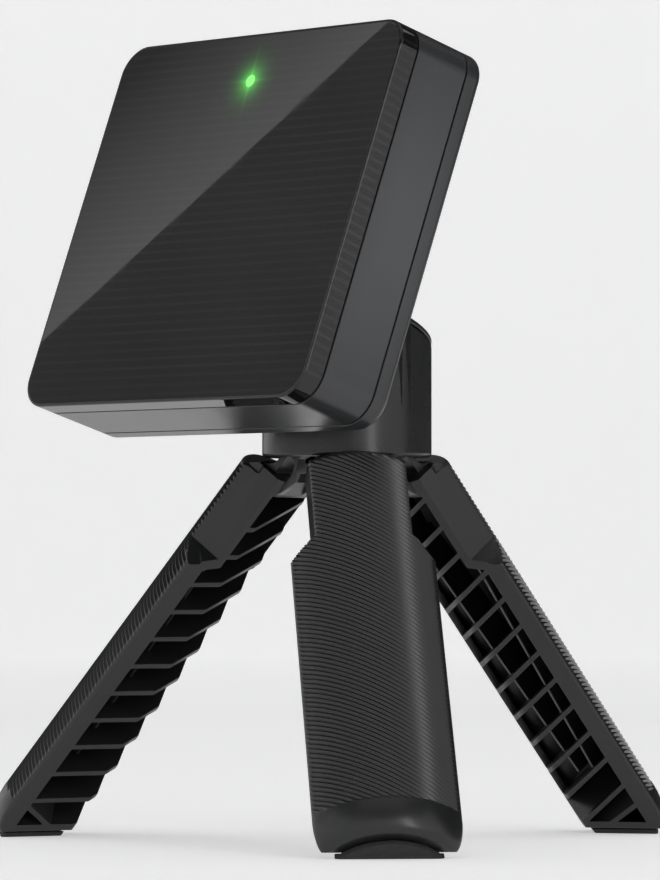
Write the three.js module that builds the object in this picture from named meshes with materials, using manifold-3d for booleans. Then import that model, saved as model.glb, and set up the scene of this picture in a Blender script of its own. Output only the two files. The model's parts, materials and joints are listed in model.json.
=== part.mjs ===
// Golf launch monitor on a folding mini tripod, in millimetres, +Z up, the monitor's front facing -Y.
// The group's origin is the middle of the object's bounding box, on the surface that the feet stand on.
import * as THREE from "three";
import { mergeVertices } from "three/addons/utils/BufferGeometryUtils.js";
import Module from "manifold-3d";

const wasm = await Module();
wasm.setup();
const DEG = Math.PI / 180;

// ---- Driving dimensions ----
const GAP = 0.3; // clearance between neighbouring pieces
const FAR = 400; // size of a cutting block, larger than the object

// Monitor: x across, y from the front face (0) to the rear face, z up the face
const BODY_WIDTH = 89;
const BODY_HEIGHT = 82.3;
const BODY_DEPTH = 23.05;
const BODY_RISE = 0.075; // how much higher each section sits per millimetre behind the front face
const CORNER_RADIUS = 6.5;
const FRONT_BEVEL = 0.5;
const REAR_ROUND = 1.6;
const SHELL_WALL = 1.8;
const SEAM_WIDTH = 0.4;
const FRONT_SEAM = 4.95; // middle of the seam between the front cover and the middle frame
const REAR_SEAM = 18.65; // middle of the seam between the middle frame and the rear cover
const SEAL_WIDTH = 1.1;
const SEAL_REACH = 1.5; // how far a seal reaches to each side of its seam
const TILT = 20.85 * DEG; // how far the monitor leans back
const FACE_CENTRE = { x: -0.5, y: -36.82, z: 129.37 }; // middle of the front face, from the tripod's axis and the ground

// Parts inside the monitor
const LIGHT = { x: 0, z: 30.2, radius: 1.3 };
const ANTENNA_BOARD = { width: 70, height: 58, y: 4.2, thickness: 1.2 };
const SHIELD_CAN = { width: 46, height: 34, depth: 2.2 };
const MAIN_BOARD = { width: 74, height: 62, y: 10.0, thickness: 1.2 };
const CPU_SHIELD = { width: 26, height: 22, depth: 1.4 };
const CHASSIS = { width: 66, height: 48, y: 13.2, thickness: 1.2, lip: 3.2 };
const BATTERY = { width: 58, height: 40, depth: 3.6, corner: 2.0 };
const FLAT_CABLE = { width: 12, x: -22, thickness: 0.3 };
const POST = { x: 36.2, z: 32.0, radius: 2.9, hole: 1.25, rib: 8.6 };
const COVER_SCREW = { head: 2.2, shaft: 0.9, length: 7.5, headDepth: 1.4 };
const BUTTON = { z: 16, length: 11, width: 4.6, travel: 0.4, proud: 0.5 };
const PORT = { z: -14, width: 9.0, height: 3.3, depth: 7.2, wall: 0.4 };
const PORT_CAP = { length: 17, width: 8.0, thickness: 1.3, plug: 1.6 };
const SIDE_PART_Y = 13.6; // depth of the button and the port behind the front face

// Tripod head: round column with a slanted top and a round boss towards the monitor
const HEAD_RADIUS = 17.7;
const HEAD_BOTTOM = 80.3;
const HEAD_TOP = 109.9; // height of the slanted top on the axis
const CAP_THICKNESS = 1.1;
const RECESS_RADIUS = 15.0;
const RECESS_TOP = 90.0;
const HEAD_FLOOR = 7.5; // plastic above the recess, which the pan bolt clamps
const POCKET_RADIUS = 9.0;
const BOSS_RADIUS = 13.8;
const BOSS_DROP = 20.2; // boss centre below the monitor's middle, along its rear face
const PAD = { outer: 13.2, inner: 9.4, thickness: 1.5, sink: 0.8 };
const MAGNET = { outer: 8.8, inner: 3.6, thickness: 4.0 };
const KEEPER = { outer: 13.0, inner: 6.4, thickness: 1.0 };
const INSERT = { outer: 4.4, inner: 2.75, length: 4.2 };

// Hub under the head, pan bolt, washer and nut
const HUB = { radius: 14.5, bottom: 86.3, top: 89.7, lugHalf: 3.2 };
const PAN_BOLT = { head: 3.4, headHeight: 2.2, shaft: 1.9, bore: 2.3 };
const PAN_WASHER = { radius: 6.0, thickness: 0.9 };
const PAN_NUT = { radius: 4.6, height: 3.0 };

// Legs: each is a third of a tube, hinged at HINGE_RADIUS from the axis
const LEG_SPLAY = 38.89 * DEG;
const LEG_RADIUS = 17.7;
const LEG_AXIS_CROSSING = 80.2; // height where the splayed legs' axes meet the tripod's axis
const HINGE_RADIUS = 7.0;
const HINGE_HEIGHT = LEG_AXIS_CROSSING + HINGE_RADIUS * Math.tan(LEG_SPLAY / 2);
const LEG_AZIMUTHS = [55.17, 175.17, -64.83]; // from -Y towards +X: right, back, left
const LEG_NAMES = ["right", "back", "left"];
const SECTOR_HALF = 60 * DEG;
const SECTOR_GAP = 0.25; // each side plane stands back this far from the true third
const LEG_TOP = 8.1; // square top end, below the hinge axis
const LIP_TOP = 10.0; // square top of the outer wall, below the hinge axis
const LEG_BOTTOM = 105.7; // square bottom end, below the hinge axis
const SEAT_CLEARANCE = 1.0; // between the splayed leg's top and the head
const LEG_WALL = 2.0;
const RIM = { width: 3.9, thickness: 1.5 };
const FLAT = { half: 10.0, end: 29.6, stepOut: 5.2, stepDown: 3.5, wall: 1.6 };
const TOP_WALL = 2.0; // from the lip down to the cavity
const INNER_EDGE = { top: 5.1, bottom: 0.1 }; // where the ribs' inner edge lies, at the leg's two ends
const RIB = { first: 17.05, pitch: 7.33, count: 12, thickness: 1.2, skew: 0.475 };
const BRACE = { depth: 101.9, lean: -0.6, thickness: 1.2, half: 12.2 }; // across the foot's outer corner
const WEB = { half: 7.75, end: 2.9, from: 28, to: 90, edge: 8.1, thickness: 0.9 };
const FOOT = { taperStart: 99.3, taperDrop: 1.1, knee: 8.85, wall: 1.8 };
const FOOT_BULGE = [[0.55, 2.6], [0.12, 4.7]]; // [drop, height]: points of the foot's rounded taper, upwards
const FOOT_PAD = { radius: 13.5, thickness: 1.6, inset: 1.1, side: 13.2 };
const NECK = { inner: 4.9, radius: 2.4, fillet: 3.0, slot: 3.6, outer: 9.4, half: 7.5, wall: 1.2 };
// The neck's curved inner strip, as [x, z] points of its two sides, downwards
const NECK_FRONT = [
  [5.9, -2.5], [4.9, -4.3], [4.2, -6.2], [4.0, -7.5], [4.2, -9.3], [4.6, -10.7], [5.4, -12.1],
];
const NECK_BACK = [
  [6.4, -3.4], [5.7, -4.2], [5.1, -5.7], [5.0, -7.0], [5.2, -8.4], [5.7, -9.2], [6.3, -9.9],
];
const PIN = { radius: 1.15, bore: 1.45, half: 7.0 };

// ---- Materials ----
function material(color, roughness, metalness = 0) {
  return new THREE.MeshStandardMaterial({ color, roughness, metalness });
}
const glossBlack = material(0x0c0c0d, 0.08);
const satinGrey = material(0x2b2c2e, 0.45);
const legPlastic = material(0x37383a, 0.5);
const rubber = material(0x151617, 0.8);
const silicone = material(0x202122, 0.7);
const greenLens = material(0x19e03a, 0.3);
const boardGreen = material(0x1d5a34, 0.6);
const tinPlate = material(0xb9bcc0, 0.35, 1);
const steel = material(0x9a9ca0, 0.3, 1);
const brass = material(0xb88a3a, 0.35, 1);
const batteryWrap = material(0x2f4f7a, 0.5);
const cableFilm = material(0xb0702a, 0.5);
const chassisPlastic = material(0x46484a, 0.6);

// ---- Solids ----
function solid(geometry) {
  const loose = geometry.index ? geometry.toNonIndexed() : geometry;
  const bare = new THREE.BufferGeometry();
  bare.setAttribute("position", loose.getAttribute("position"));
  const merged = mergeVertices(bare, 1e-4);
  return new wasm.Manifold(
    new wasm.Mesh({
      numProp: 3,
      vertProperties: merged.attributes.position.array,
      triVerts: new Uint32Array(merged.index.array),
    }),
  );
}

function geometryOf(manifold) {
  const mesh = manifold.getMesh();
  const geometry = new THREE.BufferGeometry();
  geometry.setAttribute("position", new THREE.BufferAttribute(new Float32Array(mesh.vertProperties), 3));
  geometry.setIndex(new THREE.BufferAttribute(new Uint32Array(mesh.triVerts), 1));
  geometry.computeVertexNormals();
  return geometry;
}

function joined(...pieces) {
  return pieces.reduce((whole, piece) => whole.add(piece));
}

function cut(body, ...tools) {
  return tools.reduce((rest, tool) => rest.subtract(tool), body);
}

function box(x0, x1, y0, y1, z0, z1) {
  const geometry = new THREE.BoxGeometry(x1 - x0, y1 - y0, z1 - z0);
  geometry.translate((x0 + x1) / 2, (y0 + y1) / 2, (z0 + z1) / 2);
  return solid(geometry);
}

// Solid of revolution about Z from [radius, height] points listed upwards on the outside.
function turned(points, segments = 48) {
  const geometry = new THREE.LatheGeometry(points.map(([r, z]) => new THREE.Vector2(r, z)), segments);
  geometry.rotateX(Math.PI / 2);
  return solid(geometry);
}

function disc(radius, z0, z1, segments = 24) {
  return turned([[0, z0], [radius, z0], [radius, z1], [0, z1]], segments);
}

function ring(outer, inner, z0, z1, segments = 32) {
  return cut(disc(outer, z0, z1, segments), disc(inner, z0 - 1, z1 + 1, segments));
}

function prism(shape, z0, z1, curveSegments = 6) {
  const geometry = new THREE.ExtrudeGeometry(shape, { depth: z1 - z0, bevelEnabled: false, curveSegments });
  geometry.translate(0, 0, z0);
  return solid(geometry);
}

function outline(points) {
  return new THREE.Shape(points.map(([x, y]) => new THREE.Vector2(x, y)));
}

function placed(manifold, place) {
  const geometry = geometryOf(manifold);
  place(geometry);
  return solid(geometry);
}

// Turns a solid made along +Z so that its axis runs along +Y.
function alongY(manifold) {
  return placed(manifold, (g) => g.rotateX(-Math.PI / 2));
}

function moved(manifold, x, y, z) {
  return placed(manifold, (g) => g.translate(x, y, z));
}

function roundedRectangle(width, height, radius) {
  const shape = new THREE.Shape();
  const x = width / 2;
  const y = height / 2;
  const r = radius;
  shape.moveTo(-x + r, -y);
  shape.lineTo(x - r, -y);
  shape.absarc(x - r, -y + r, r, -Math.PI / 2, 0);
  shape.lineTo(x, y - r);
  shape.absarc(x - r, y - r, r, 0, Math.PI / 2);
  shape.lineTo(-x + r, y);
  shape.absarc(-x + r, y - r, r, Math.PI / 2, Math.PI);
  shape.lineTo(-x, -y + r);
  shape.absarc(-x + r, -y + r, r, Math.PI, Math.PI * 1.5);
  return shape;
}

// Rounded plate in the monitor's own frame, from depth y0 to y1 behind the front face.
function plate(width, height, radius, y0, y1, curveSegments = 3) {
  const flat = prism(roundedRectangle(width, height, radius), -y1, -y0, curveSegments);
  return placed(flat, (g) => g.rotateX(Math.PI / 2));
}

// Raises each section of the monitor's shells in proportion to its depth.
function risen(manifold) {
  const rise = new THREE.Matrix4().set(1, 0, 0, 0, 0, 1, 0, 0, 0, BODY_RISE, 1, 0, 0, 0, 0, 1);
  return placed(manifold, (g) => g.applyMatrix4(rise));
}

// The monitor's outer form between two depths, stood in by inset.
function bodyBlock(inset, y0, y1) {
  const curveSegments = inset > 0 ? 4 : 6;
  const radius = Math.max(CORNER_RADIUS - inset, 1);
  return risen(plate(BODY_WIDTH - 2 * inset, BODY_HEIGHT - 2 * inset, radius, y0, y1, curveSegments));
}

// Plate of the monitor's outline whose edge is bevelled or rounded at the y0 end (or the y1 end).
function edgedBlock(y0, y1, bevel, steps, rearEdge) {
  const shape = roundedRectangle(BODY_WIDTH - 2 * bevel, BODY_HEIGHT - 2 * bevel, CORNER_RADIUS - bevel);
  const geometry = new THREE.ExtrudeGeometry(shape, {
    depth: y1 - y0,
    bevelEnabled: true,
    bevelThickness: bevel,
    bevelSize: bevel,
    bevelSegments: steps,
    curveSegments: 6,
  });
  geometry.rotateX(Math.PI / 2);
  geometry.translate(0, rearEdge ? y1 - bevel : y1 + bevel, 0);
  const keep = box(-FAR, FAR, y0, y1, -FAR, FAR);
  return risen(solid(geometry).intersect(keep));
}

const root = new THREE.Group();

function add(parent, name, manifold, finish) {
  const mesh = new THREE.Mesh(geometryOf(manifold), finish);
  mesh.name = name;
  parent.add(mesh);
  return mesh;
}

// ---- Monitor ----
const monitor = new THREE.Group();
monitor.position.set(FACE_CENTRE.x, FACE_CENTRE.y, FACE_CENTRE.z);
monitor.rotation.x = -TILT;
root.add(monitor);

const mountX = -FACE_CENTRE.x;
const mountZ = -BOSS_DROP;
const cornerPlaces = [[1, 1], [-1, 1], [-1, -1], [1, -1]].map(([sx, sz]) => [sx * POST.x, sz * POST.z]);

function frontCover() {
  const shell = edgedBlock(0, FRONT_SEAM - SEAM_WIDTH / 2, FRONT_BEVEL, 1, false);
  const hollow = bodyBlock(SHELL_WALL, SHELL_WALL, BODY_DEPTH);
  const lightHole = moved(alongY(disc(LIGHT.radius + GAP, -1, SHELL_WALL + 1, 24)), LIGHT.x, 0, LIGHT.z);
  return cut(shell, hollow, lightHole);
}

// Seal ring inside the shells' walls, across a seam.
function seal(seam) {
  const outer = SHELL_WALL + GAP;
  const ringBlock = bodyBlock(outer, seam - SEAL_REACH, seam + SEAL_REACH);
  return cut(ringBlock, bodyBlock(outer + SEAL_WIDTH, -1, BODY_DEPTH + 1));
}

function middleFrame() {
  const y0 = FRONT_SEAM + SEAM_WIDTH / 2;
  const y1 = REAR_SEAM - SEAM_WIDTH / 2;
  const wall = cut(bodyBlock(0, y0, y1), bodyBlock(SHELL_WALL, -1, BODY_DEPTH + 1));
  const posts = cornerPlaces.map(([x, z]) => screwPost(x, z, y0 + 6.5, REAR_SEAM - SEAL_REACH - GAP));
  const left = -BODY_WIDTH / 2;
  const side = SIDE_PART_Y;
  const buttonHole = box(left - 1, left + 6, side - BUTTON.width / 2 - GAP, side + BUTTON.width / 2 + GAP,
    BUTTON.z - BUTTON.length / 2 - GAP, BUTTON.z + BUTTON.length / 2 + GAP);
  const capSeat = box(left - 1, left + PORT_CAP.thickness + 0.1, side - PORT_CAP.width / 2 - GAP,
    side + PORT_CAP.width / 2 + GAP, PORT.z - PORT_CAP.length / 2 - GAP, PORT.z + PORT_CAP.length / 2 + GAP);
  const portHole = box(left - 1, left + 6, side - PORT.height / 2 - GAP, side + PORT.height / 2 + GAP,
    PORT.z - PORT.width / 2 - GAP, PORT.z + PORT.width / 2 + GAP);
  return cut(joined(wall, ...posts), buttonHole, capSeat, portHole);
}

// Post for a cover screw, with a rib that ties it to the frame's corner.
function screwPost(x, z, y0, y1) {
  const post = moved(alongY(disc(POST.radius, y0, y1, 16)), x, 0, z);
  const rib = placed(box(0, POST.rib, y0, y1, -0.8, 0.8), (g) => {
    g.rotateY(-Math.atan2(Math.sign(z), Math.sign(x)));
    g.translate(x, 0, z);
  });
  const hole = moved(alongY(disc(POST.hole, y0 + 1, y1 + 1, 12)), x, 0, z);
  return cut(joined(post, rib), hole);
}

function rearCover() {
  const shell = edgedBlock(REAR_SEAM + SEAM_WIDTH / 2, BODY_DEPTH, REAR_ROUND, 2, true);
  const hollow = bodyBlock(SHELL_WALL, 0, BODY_DEPTH - SHELL_WALL);
  const holes = cornerPlaces.flatMap(([x, z]) => [
    moved(alongY(disc(COVER_SCREW.head + GAP, BODY_DEPTH - COVER_SCREW.headDepth - GAP, BODY_DEPTH + 1, 16)), x, 0, z),
    moved(alongY(disc(COVER_SCREW.shaft + GAP, 0, BODY_DEPTH + 1, 10)), x, 0, z),
  ]);
  const seats = cornerPlaces.map(([x, z]) =>
    moved(alongY(disc(POST.radius + 0.6, REAR_SEAM, BODY_DEPTH - SHELL_WALL + 0.5, 16)), x, 0, z));
  const insertHole = moved(alongY(disc(INSERT.outer + GAP, 0, BODY_DEPTH + 1, 32)), mountX, 0, mountZ);
  return cut(joined(cut(shell, hollow), ...seats), ...holes, insertHole);
}

function coverScrew() {
  const top = BODY_DEPTH - 0.1;
  const neck = top - COVER_SCREW.headDepth;
  const body = joined(disc(COVER_SCREW.shaft, top - COVER_SCREW.length, neck + 0.1, 10),
    disc(COVER_SCREW.head, neck, top, 16));
  const socket = prism(outline(polygon(6, 1.1)), top - 0.8, top + 1);
  return alongY(cut(body, socket));
}

function polygon(sides, radius) {
  return Array.from({ length: sides }, (_, i) => {
    const a = (i / sides) * 2 * Math.PI;
    return [radius * Math.cos(a), radius * Math.sin(a)];
  });
}

function board(spec, corner) {
  return plate(spec.width, spec.height, corner, spec.y, spec.y + spec.thickness);
}

function can(spec, y0) {
  const outer = plate(spec.width, spec.height, 1.5, y0, y0 + spec.depth);
  return cut(outer, plate(spec.width - 1, spec.height - 1, 1.2, y0 - 1, y0 + spec.depth - 0.5));
}

function chassis() {
  const { width, height, y, thickness, lip } = CHASSIS;
  const floor = plate(width, height, 3, y, y + thickness);
  const walls = cut(plate(width, height, 3, y, y + thickness + lip),
    plate(width - 2.4, height - 2.4, 2, y + thickness, y + 20));
  const cableSlot = box(FLAT_CABLE.x - 8, FLAT_CABLE.x + 8, y - 1, y + 10, height / 2 - 3, height / 2 + 3);
  return cut(joined(floor, walls), cableSlot);
}

// Flat cable in a U from the antenna board, over the main board's upper edge, to its rear.
function flatCable() {
  const half = FLAT_CABLE.thickness / 2;
  const y0 = ANTENNA_BOARD.y + ANTENNA_BOARD.thickness + GAP;
  const y1 = MAIN_BOARD.y - GAP;
  const low = 24;
  const high = low + 4;
  const shape = outline([[y0, low], [y0 + 2 * half, low], [y0 + 2 * half, high - 2 * half],
    [y1 - 2 * half, high - 2 * half], [y1 - 2 * half, low], [y1, low], [y1, high], [y0, high]]);
  return placed(prism(shape, -FLAT_CABLE.width / 2, FLAT_CABLE.width / 2), (g) => {
    g.applyMatrix4(new THREE.Matrix4().set(0, 0, 1, FLAT_CABLE.x, 1, 0, 0, 0, 0, 1, 0, 0, 0, 0, 0, 1));
  });
}

function threadInsert() {
  const y1 = BODY_DEPTH - 0.1;
  const y0 = y1 - INSERT.length;
  const flange = ring(KEEPER.inner - GAP, INSERT.inner, y0, y0 + 1.2, 32);
  return alongY(joined(ring(INSERT.outer, INSERT.inner, y0, y1, 32), flange));
}

function keeperPlate() {
  const y1 = BODY_DEPTH - SHELL_WALL - GAP;
  return alongY(ring(KEEPER.outer, KEEPER.inner, y1 - KEEPER.thickness, y1));
}

function lightPipe() {
  const start = 0.05;
  const barrel = disc(LIGHT.radius, start, ANTENNA_BOARD.y - GAP - 0.9, 24);
  return alongY(joined(barrel, disc(LIGHT.radius + 0.7, SHELL_WALL + GAP, SHELL_WALL + 2 * GAP + 0.4, 24)));
}

function powerButton() {
  const left = -BODY_WIDTH / 2;
  const y = SIDE_PART_Y;
  const cap = box(left - BUTTON.proud, left + SHELL_WALL, y - BUTTON.width / 2, y + BUTTON.width / 2,
    BUTTON.z - BUTTON.length / 2, BUTTON.z + BUTTON.length / 2);
  const flangeStart = left + SHELL_WALL + GAP;
  const stem = box(left, flangeStart + 0.1, y - 1.5, y + 1.5, BUTTON.z - 3, BUTTON.z + 3);
  const flange = box(flangeStart, flangeStart + 0.8, y - BUTTON.width / 2 - 0.8, y + BUTTON.width / 2 + 0.8,
    BUTTON.z - BUTTON.length / 2 - 0.8, BUTTON.z + BUTTON.length / 2 + 0.8);
  return joined(cap, stem, flange);
}

function powerSwitch() {
  const x0 = -BODY_WIDTH / 2 + SHELL_WALL + GAP + 0.8 + BUTTON.travel + GAP;
  const y = SIDE_PART_Y;
  const body = box(x0 + 0.6, x0 + 5.0, y - 1.6, y + 2.2, BUTTON.z - 2.4, BUTTON.z + 2.4);
  return joined(body, box(x0, x0 + 0.7, y - 0.8, y + 0.8, BUTTON.z - 1.2, BUTTON.z + 1.2));
}

function chargePort() {
  const x0 = -BODY_WIDTH / 2 + PORT_CAP.thickness + PORT_CAP.plug + 2 * GAP - 1.2;
  const y = SIDE_PART_Y;
  const outer = box(x0, x0 + PORT.depth, y - PORT.height / 2, y + PORT.height / 2,
    PORT.z - PORT.width / 2, PORT.z + PORT.width / 2);
  const w = PORT.wall;
  const hollow = box(x0 - 1, x0 + PORT.depth - 1, y - PORT.height / 2 + w, y + PORT.height / 2 - w,
    PORT.z - PORT.width / 2 + w, PORT.z + PORT.width / 2 - w);
  const tongue = box(x0 + 3.2, x0 + PORT.depth - 0.5, y - 0.35, y + 0.35, PORT.z - 3, PORT.z + 3);
  return joined(cut(outer, hollow), tongue);
}

function portCap() {
  const left = -BODY_WIDTH / 2;
  const y = SIDE_PART_Y;
  const lid = box(left - 0.1, left + PORT_CAP.thickness - 0.2, y - PORT_CAP.width / 2, y + PORT_CAP.width / 2,
    PORT.z - PORT_CAP.length / 2, PORT.z + PORT_CAP.length / 2);
  const grip = box(left - 0.5, left, y - 1.6, y + 1.6, PORT.z + PORT_CAP.length / 2 - 2.4,
    PORT.z + PORT_CAP.length / 2 - 1.2);
  const plug = box(left + 1, left + PORT_CAP.thickness + PORT_CAP.plug - 0.2, y - PORT.height / 2 + 0.7,
    y + PORT.height / 2 - 0.7, PORT.z - PORT.width / 2 + 0.8, PORT.z + PORT.width / 2 - 0.8);
  return joined(lid, grip, plug);
}

function buildMonitor() {
  add(monitor, "front_cover", frontCover(), glossBlack);
  add(monitor, "front_seal", seal(FRONT_SEAM), rubber);
  add(monitor, "middle_frame", middleFrame(), satinGrey);
  add(monitor, "rear_seal", seal(REAR_SEAM), rubber);
  add(monitor, "rear_cover", rearCover(), satinGrey);
  add(monitor, "light_pipe", lightPipe(), greenLens).position.set(LIGHT.x, 0, LIGHT.z);
  add(monitor, "antenna_board", board(ANTENNA_BOARD, 3), boardGreen);
  const behindAntenna = ANTENNA_BOARD.y + ANTENNA_BOARD.thickness + GAP;
  add(monitor, "antenna_shield", can(SHIELD_CAN, behindAntenna), tinPlate);
  add(monitor, "status_light", statusLight(), greenLens).position.set(LIGHT.x, 0, LIGHT.z);
  add(monitor, "main_board", board(MAIN_BOARD, 3), boardGreen);
  add(monitor, "processor_shield", can(CPU_SHIELD, MAIN_BOARD.y + MAIN_BOARD.thickness + GAP), tinPlate);
  add(monitor, "flat_cable", flatCable(), cableFilm);
  add(monitor, "battery_tray", chassis(), chassisPlastic);
  const batteryStart = CHASSIS.y + CHASSIS.thickness + GAP;
  add(monitor, "battery_pack",
    plate(BATTERY.width, BATTERY.height, BATTERY.corner, batteryStart, batteryStart + BATTERY.depth), batteryWrap);
  add(monitor, "thread_insert", threadInsert(), brass).position.set(mountX, 0, mountZ);
  add(monitor, "keeper_plate", keeperPlate(), steel).position.set(mountX, 0, mountZ);
  cornerPlaces.forEach(([x, z], i) => {
    add(monitor, `cover_screw_${i + 1}`, coverScrew(), steel).position.set(x, 0, z);
  });
  add(monitor, "power_button", powerButton(), silicone);
  add(monitor, "power_switch", powerSwitch(), tinPlate);
  add(monitor, "charge_port", chargePort(), tinPlate);
  add(monitor, "port_cap", portCap(), silicone);
}

function statusLight() {
  const y1 = ANTENNA_BOARD.y - GAP;
  return alongY(disc(1.0, y1 - 0.6, y1, 16));
}

// ---- Tripod head ----
const faceNormal = new THREE.Vector3(0, -Math.cos(TILT), Math.sin(TILT));
const faceUp = new THREE.Vector3(0, Math.sin(TILT), Math.cos(TILT));
const rearFace = new THREE.Vector3(0, FACE_CENTRE.y, FACE_CENTRE.z).addScaledVector(faceNormal, -BODY_DEPTH);
const mountCentre = rearFace.clone().addScaledVector(faceUp, mountZ);

const mount = new THREE.Group(); // origin on the monitor's rear face, +Z towards the monitor
mount.position.copy(mountCentre);
mount.rotation.x = Math.PI / 2 - TILT;
root.add(mount);

// Puts a solid made in the mount's frame into the object's frame.
function fromMount(manifold) {
  mount.updateMatrix();
  return placed(manifold, (g) => g.applyMatrix4(mount.matrix));
}

// Block that removes everything above the slanted plane at the given height on the axis.
function aboveSlant(height) {
  return placed(box(-FAR, FAR, -FAR, FAR, 0, FAR), (g) => {
    g.rotateX(-TILT);
    g.translate(0, 0, height);
  });
}

function headBody() {
  const capBottom = HEAD_TOP - (CAP_THICKNESS + GAP) / Math.cos(TILT);
  const column = turned([[0, HEAD_BOTTOM], [HEAD_RADIUS - 0.5, HEAD_BOTTOM], [HEAD_RADIUS, HEAD_BOTTOM + 0.5],
    [HEAD_RADIUS, HEAD_TOP + 20], [0, HEAD_TOP + 20]], 48);
  const faceBack = -(PAD.thickness + GAP) + PAD.sink;
  const boss = fromMount(disc(BOSS_RADIUS, -20, faceBack, 32));
  const beyondFace = fromMount(box(-FAR, FAR, -FAR, FAR, faceBack, FAR));
  const padSeat = fromMount(ring(PAD.outer + GAP, MAGNET.outer, faceBack - PAD.sink, 5));
  const magnetSeat = fromMount(disc(MAGNET.outer + GAP, -2 * GAP - MAGNET.thickness, 5, 32));
  const recess = disc(RECESS_RADIUS, HEAD_BOTTOM - 1, RECESS_TOP, 36);
  const bore = disc(PAN_BOLT.bore, HEAD_BOTTOM, HEAD_TOP + 30, 24);
  const pocket = disc(POCKET_RADIUS, RECESS_TOP + HEAD_FLOOR, HEAD_TOP + 30, 32);
  const outer = cut(joined(column, boss), beyondFace, aboveSlant(capBottom));
  return cut(outer, padSeat, magnetSeat, recess, bore, pocket);
}

function headCap() {
  const column = disc(HEAD_RADIUS, HEAD_BOTTOM, HEAD_TOP + 20, 48);
  const faceBack = -(PAD.thickness + GAP) + PAD.sink;
  const beyondFace = fromMount(box(-FAR, FAR, -FAR, FAR, faceBack, FAR));
  const below = cut(column, aboveSlant(HEAD_TOP - CAP_THICKNESS / Math.cos(TILT)));
  return cut(column, aboveSlant(HEAD_TOP), below, beyondFace);
}

function buildHead() {
  add(root, "head_body", headBody(), satinGrey);
  add(root, "head_cap", headCap(), satinGrey);
  add(mount, "mount_pad", ring(PAD.outer, PAD.inner, -PAD.thickness, -GAP), rubber);
  add(mount, "mount_magnet", ring(MAGNET.outer, MAGNET.inner, -GAP - MAGNET.thickness, -GAP, 32), steel);
}

// ---- Hub and pan bolt ----
function hubLug(azimuth) {
  const shape = outline([[NECK.inner + 0.2, HUB.bottom + 1], [NECK.inner + 0.2, HINGE_HEIGHT],
    ...arcPoints(HINGE_RADIUS, HINGE_HEIGHT, NECK.radius - 0.3, 180, 360, 10),
    [NECK.outer - 0.3, HINGE_HEIGHT], [NECK.outer - 0.3, HUB.bottom + 1]]);
  const plateSolid = prism(shape, -HUB.lugHalf, HUB.lugHalf);
  const pinHole = moved(disc(PIN.bore, -20, 20, 24), HINGE_RADIUS, HINGE_HEIGHT, 0);
  return placed(cut(plateSolid, pinHole), (g) => {
    g.rotateX(Math.PI / 2);
    g.rotateZ((azimuth - 90) * DEG);
  });
}

function arcPoints(x, y, radius, from, to, steps) {
  return Array.from({ length: steps + 1 }, (_, i) => {
    const a = (from + ((to - from) * i) / steps) * DEG;
    return [x + radius * Math.cos(a), y + radius * Math.sin(a)];
  });
}

function legHub() {
  const plateDisc = disc(HUB.radius, HUB.bottom, HUB.top, 36);
  const bore = disc(PAN_BOLT.bore, 0, 200, 24);
  return cut(joined(plateDisc, ...LEG_AZIMUTHS.map(hubLug)), bore);
}

function buildHub() {
  add(root, "leg_hub", legHub(), chassisPlastic);
  const boltTop = RECESS_TOP + HEAD_FLOOR + PAN_WASHER.thickness + PAN_NUT.height + 4 * GAP;
  const headTop = HUB.bottom - GAP;
  const bolt = joined(disc(PAN_BOLT.head, headTop - PAN_BOLT.headHeight, headTop, 24),
    disc(PAN_BOLT.shaft, headTop - 1, boltTop, 24));
  const socket = prism(outline(polygon(6, 1.5)), 0, headTop - PAN_BOLT.headHeight + 1.4);
  add(root, "pan_bolt", cut(bolt, socket), steel);
  const washerBottom = RECESS_TOP + HEAD_FLOOR + GAP;
  const washerTop = washerBottom + PAN_WASHER.thickness;
  add(root, "pan_washer", ring(PAN_WASHER.radius, PAN_BOLT.bore, washerBottom, washerTop, 32), steel);
  const nutBottom = washerTop + GAP;
  const hexagon = prism(outline(polygon(6, PAN_NUT.radius)), nutBottom, nutBottom + PAN_NUT.height);
  add(root, "pan_nut", cut(hexagon, disc(PAN_BOLT.bore, 0, 200, 24)), steel);
}

// ---- Legs ----
// Leg frame: x outwards from the leg's axis, y sideways, z up from the hinge's height.
function sectorShape(radius, sideInset, steps = 10) {
  const inset = SECTOR_GAP + sideInset;
  const apex = inset / Math.sin(SECTOR_HALF);
  const half = SECTOR_HALF - Math.asin(inset / radius);
  const arc = arcPoints(0, 0, radius, -half / DEG, half / DEG, steps);
  return outline([[apex, 0], ...arc]);
}

// Block on the inner side of the slanted plane that the ribs' inner edges lie on.
function insideEdge() {
  const shape = outline([[-FAR, 20], [-FAR, -LEG_BOTTOM - 20], [INNER_EDGE.bottom, -LEG_BOTTOM - 20],
    [INNER_EDGE.bottom, -LEG_BOTTOM], [INNER_EDGE.top, -LEG_TOP], [INNER_EDGE.top, 20]]);
  return sideways(shape, FAR);
}

// Extrudes an outline drawn in the leg's x-z plane by half to each side in y.
function sideways(shape, half) {
  return placed(prism(shape, -half, half), (g) => g.rotateX(Math.PI / 2));
}

// Everything above the square tops, and above the head's underside when the leg is splayed.
function legTopTool() {
  const seatZ = HEAD_BOTTOM - SEAT_CLEARANCE - HINGE_HEIGHT;
  const seat = placed(box(0, FAR, -FAR, FAR, 0, FAR), (g) => {
    g.translate(0, 0, seatZ);
    g.rotateY(LEG_SPLAY);
    g.translate(HINGE_RADIUS, 0, 0);
  });
  const aboveTop = box(-FAR, FAR, -FAR, FAR, -LEG_TOP, FAR);
  const aboveLip = box(-FAR, FAR, -FAR, FAR, -LIP_TOP, FAR);
  return joined(aboveTop, seat.intersect(aboveLip));
}

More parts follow.
